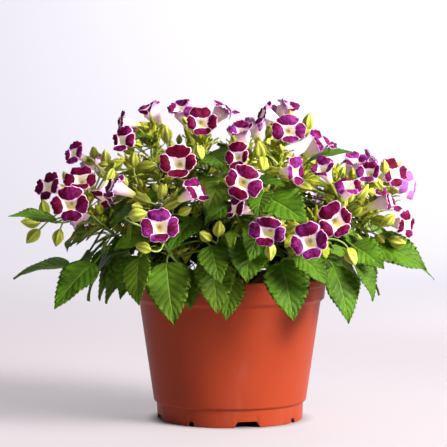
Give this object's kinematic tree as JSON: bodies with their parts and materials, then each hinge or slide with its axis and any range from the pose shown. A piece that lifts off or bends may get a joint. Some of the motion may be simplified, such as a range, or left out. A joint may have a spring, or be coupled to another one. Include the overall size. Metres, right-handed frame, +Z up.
{
  "type": "potted torenia",
  "caption": "Bushy wishbone flower in bloom with toothed leaves, planted in a tapered plastic pot with a banded rim and a notched foot.",
  "frame": {"origin": "centre of the pot's base, on the surface that it stands on", "axes": "+Z up out of the pot, -Y the side that is looked at, +X to the onlooker's right"},
  "size_m": [0.327, 0.2738, 0.2481],
  "materials": {
    "pot_plastic": "satin moulded plastic in a terracotta colour",
    "potting_soil": "moist crumbly peat with bark and fibre",
    "petals": "velvety burgundy lobes with a white throat and thin pale margins",
    "leaves": "soft matt green with sunk veins"
  },
  "bodies": {
    "root": {"bloom_01": "petals", "bloom_02": "petals", "bloom_03": "petals", "bloom_04": "petals", "bloom_05": "petals", "bloom_06": "petals", "bloom_07": "petals", "bloom_08": "petals", "bloom_09": "petals", "bloom_10": "petals", "bloom_11": "petals", "bloom_12": "petals", "bloom_13": "petals", "bloom_14": "petals", "bloom_15": "petals", "bloom_16": "petals", "bloom_17": "petals", "bloom_18": "petals", "bloom_19": "petals", "bloom_20": "petals", "bloom_21": "petals", "bloom_22": "petals", "bloom_23": "petals", "bloom_24": "petals", "bloom_25": "petals", "bloom_26": "petals", "bloom_27": "petals", "bloom_28": "petals", "bloom_29": "petals", "bloom_30": "petals", "bloom_31": "petals", "bloom_32": "petals", "bloom_33": "petals", "bloom_34": "petals", "bloom_35": "petals", "bloom_36": "petals", "bloom_37": "petals", "bloom_38": "petals", "bloom_39": "petals", "bloom_40": "petals", "bloom_41": "petals", "bloom_42": "petals", "bloom_43": "petals", "bloom_44": "petals", "bloom_45": "petals", "bloom_46": "petals", "leafy_stem_back": "leaves", "leafy_stem_back_left": "leaves", "leafy_stem_back_right": "leaves", "leafy_stem_centre": "leaves", "leafy_stem_crown": "leaves", "leafy_stem_far_right": "leaves", "leafy_stem_front_left": "leaves", "leafy_stem_front_right": "leaves", "leafy_stem_left": "leaves", "leafy_stem_right": "leaves", "leafy_stem_top": "leaves", "leafy_stem_upper_left": "leaves", "pot": "pot_plastic", "soil": "potting_soil"}
  },
  "joints": []
}
